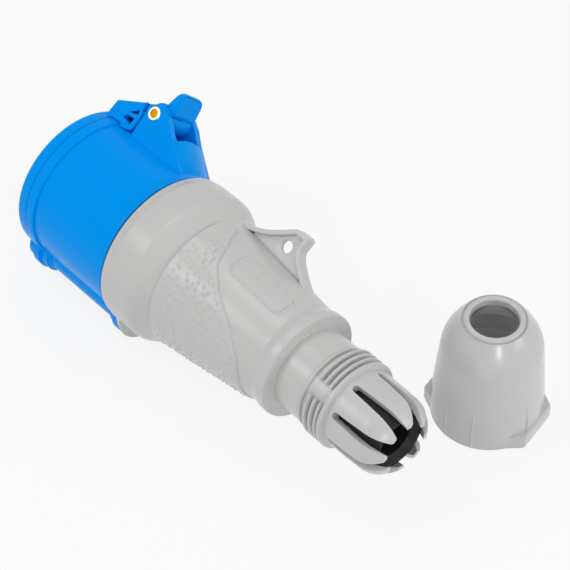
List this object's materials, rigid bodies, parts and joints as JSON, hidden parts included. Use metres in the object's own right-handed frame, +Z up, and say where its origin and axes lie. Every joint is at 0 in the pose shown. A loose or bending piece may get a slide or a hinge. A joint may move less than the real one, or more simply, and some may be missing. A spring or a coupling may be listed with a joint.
{
  "type": "pin and sleeve cable socket",
  "caption": "Blue and grey industrial cable socket with a sprung hinged lid, contact insert, ribbed grip, hanging eye and a slotted cable clamp, its gland nut taken off and standing beside it.",
  "frame": {"origin": "on the table, at the centre of the box around the socket and its nut", "axes": "+X along the socket from its lid to its cable end, +Z up from the table, hinge leaning towards +Y"},
  "size_m": [0.1697, 0.0948, 0.0612],
  "materials": {
    "blue_plastic": "satin moulded polyamide, bright blue",
    "grey_plastic": "satin moulded polyamide, light warm grey",
    "nut_plastic": "satin moulded polyamide, light grey",
    "black_rubber": "soft black rubber",
    "insert_plastic": "heat resistant black plastic",
    "brass": "bright riveted brass",
    "contact_brass": "turned brass",
    "spring_steel": "drawn spring wire",
    "plated_steel": "zinc plated"
  },
  "bodies": {
    "socket": {"front_shell": "blue_plastic", "hinge_pin": "brass", "lid_spring": "spring_steel", "contact_face": "insert_plastic", "contact_carrier": "insert_plastic", "carrier_flange": "insert_plastic", "contact_block": "insert_plastic", "carrier_back_cover": "insert_plastic", "cover_screw": "plated_steel", "carrier_fixing_screws": "plated_steel", "line_contact": "contact_brass", "neutral_contact": "contact_brass", "earth_contact": "contact_brass", "line_contact_ring": "spring_steel", "neutral_contact_ring": "spring_steel", "earth_contact_ring": "spring_steel", "line_terminal_screw": "plated_steel", "neutral_terminal_screw": "plated_steel", "earth_terminal_screw": "plated_steel", "handle": "grey_plastic", "joint_seal": "black_rubber", "cable_seal": "black_rubber", "gland_nut": "nut_plastic"},
    "lid": {"lid": "blue_plastic", "lid_gasket": "black_rubber"}
  },
  "joints": [
    {"name": "lid_hinge", "type": "hinge", "parent": "socket", "child": "lid", "pos_m": [-0.06469, 0.00568, 0.05063], "axis": [0.0143, 0.682, -0.7312], "range_deg": [0, 105], "stiffness_Nm_per_rad": 0.04, "springref_deg": -57.3}
  ]
}
